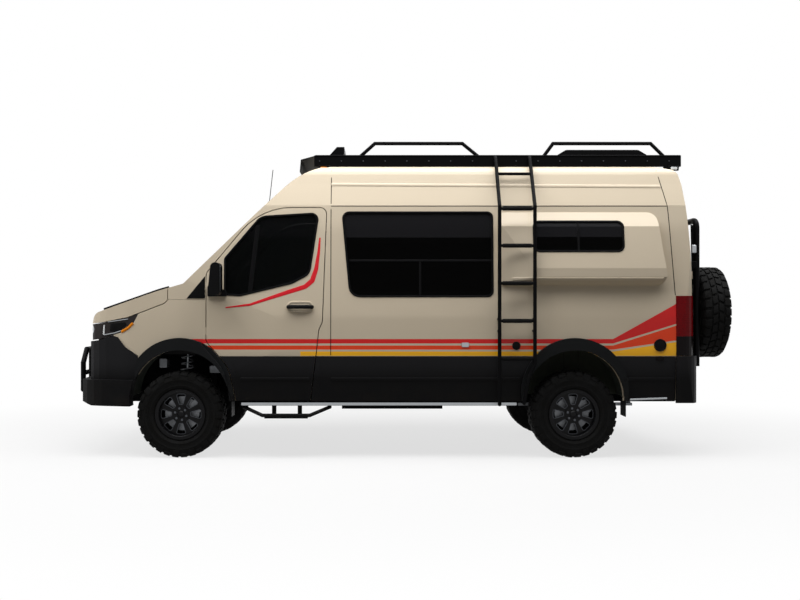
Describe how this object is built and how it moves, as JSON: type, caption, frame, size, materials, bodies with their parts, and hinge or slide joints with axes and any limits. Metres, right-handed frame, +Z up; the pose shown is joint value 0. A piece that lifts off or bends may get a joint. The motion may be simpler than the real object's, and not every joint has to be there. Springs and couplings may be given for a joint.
{
  "type": "camper van",
  "caption": "High-roof four-wheel-drive camper van with opening doors and hood, steered wheels, roof rack, side ladder, flared side pods and a rear spare wheel carrier",
  "frame": {"origin": "on the ground, at the middle of the van's length and width", "axes": "+Z up, -X towards the front bumper, -Y towards the driver's (left) side"},
  "size_m": [6.2304, 2.5, 2.9785],
  "materials": {
    "paint": "gloss",
    "glass": "tinted, polished",
    "black_plastic": "satin",
    "black_steel": "satin powder coat",
    "lamp_clear": "polished",
    "lamp_red": "gloss",
    "seat_fabric": "woven",
    "tyre": "matt",
    "rim": "satin black",
    "chassis": "matt"
  },
  "bodies": {
    "van": {"floor": "chassis", "sills": "chassis", "chassis_frame": "chassis", "engine": "chassis", "driveline": "chassis", "front_axle": "chassis", "rear_axle": "chassis", "wheel_houses": "chassis", "fenders": "paint", "cab_frame": "paint", "windscreen": "glass", "roof": "paint", "side_left": "paint", "side_right": "paint", "sliding_door": "paint", "rear_frame": "paint", "window_glass": "glass", "side_pods": "paint", "pod_glass": "glass", "cladding": "black_plastic", "wheel_flares": "black_plastic", "front_bumper": "black_plastic", "bull_bar": "black_steel", "grille": "black_plastic", "headlamps": "lamp_clear", "tail_lamps": "lamp_red", "rear_bumper": "black_plastic", "hitch": "black_steel", "side_steps": "black_steel", "roof_rack": "black_steel", "roof_unit": "black_plastic", "ladder": "black_steel", "dashboard": "black_plastic", "seats": "seat_fabric"},
    "hood": {"hood": "paint"},
    "door_left": {"door_left": "paint", "door_left_glass": "glass", "door_left_cladding": "black_plastic", "mirror_left": "black_plastic"},
    "door_right": {"door_right": "paint", "door_right_glass": "glass", "door_right_cladding": "black_plastic", "mirror_right": "black_plastic"},
    "rear_door_left": {"rear_door_left": "paint", "rear_glass_left": "glass", "tyre_carrier": "black_steel", "spare_tyre": "tyre", "spare_rim": "rim"},
    "rear_door_right": {"rear_door_right": "paint", "rear_glass_right": "glass"},
    "knuckle_left": {"knuckle_left": "chassis"},
    "knuckle_right": {"knuckle_right": "chassis"},
    "wheel_front_left": {"tyre_front_left": "tyre", "rim_front_left": "rim"},
    "wheel_front_right": {"tyre_front_right": "tyre", "rim_front_right": "rim"},
    "wheel_rear_left": {"tyre_rear_left": "tyre", "rim_rear_left": "rim"},
    "wheel_rear_right": {"tyre_rear_right": "tyre", "rim_rear_right": "rim"}
  },
  "joints": [
    {"name": "steer_left", "type": "hinge", "parent": "van", "child": "knuckle_left", "pos_m": [-2.065, -0.8, 0.4015], "axis": [0, 0, 1], "range_deg": [-33, 33]},
    {"name": "steer_right", "type": "hinge", "parent": "van", "child": "knuckle_right", "pos_m": [-2.065, 0.8, 0.4015], "axis": [0, 0, 1], "range_deg": [-33, 33]},
    {"name": "wheel_front_left_spin", "type": "hinge", "parent": "knuckle_left", "child": "wheel_front_left", "pos_m": [-2.065, -0.865, 0.4015], "axis": [0, -1, 0], "continuous": true},
    {"name": "wheel_front_right_spin", "type": "hinge", "parent": "knuckle_right", "child": "wheel_front_right", "pos_m": [-2.065, 0.865, 0.4015], "axis": [0, -1, 0], "continuous": true},
    {"name": "wheel_rear_left_spin", "type": "hinge", "parent": "van", "child": "wheel_rear_left", "pos_m": [1.6, -0.865, 0.4015], "axis": [0, -1, 0], "continuous": true},
    {"name": "wheel_rear_right_spin", "type": "hinge", "parent": "van", "child": "wheel_rear_right", "pos_m": [1.6, 0.865, 0.4015], "axis": [0, -1, 0], "continuous": true},
    {"name": "door_left_swing", "type": "hinge", "parent": "van", "child": "door_left", "pos_m": [-1.821, -0.99006, 1.39], "axis": [0, 0, -1], "range_deg": [0, 70]},
    {"name": "door_right_swing", "type": "hinge", "parent": "van", "child": "door_right", "pos_m": [-1.821, 0.99006, 1.39], "axis": [0, 0, 1], "range_deg": [0, 70]},
    {"name": "rear_door_left_swing", "type": "hinge", "parent": "van", "child": "rear_door_left", "pos_m": [2.721, -0.904, 1.25], "axis": [0, 0, -1], "range_deg": [0, 90]},
    {"name": "rear_door_right_swing", "type": "hinge", "parent": "van", "child": "rear_door_right", "pos_m": [2.721, 0.904, 1.25], "axis": [0, 0, 1], "range_deg": [0, 90]},
    {"name": "hood_lift", "type": "hinge", "parent": "van", "child": "hood", "pos_m": [-2.181, 0, 1.59], "axis": [0, 1, 0], "range_deg": [0, 55]}
  ],
  "couplings": [
    {"joint": "steer_right", "follows": "steer_left", "ratio": 1}
  ]
}
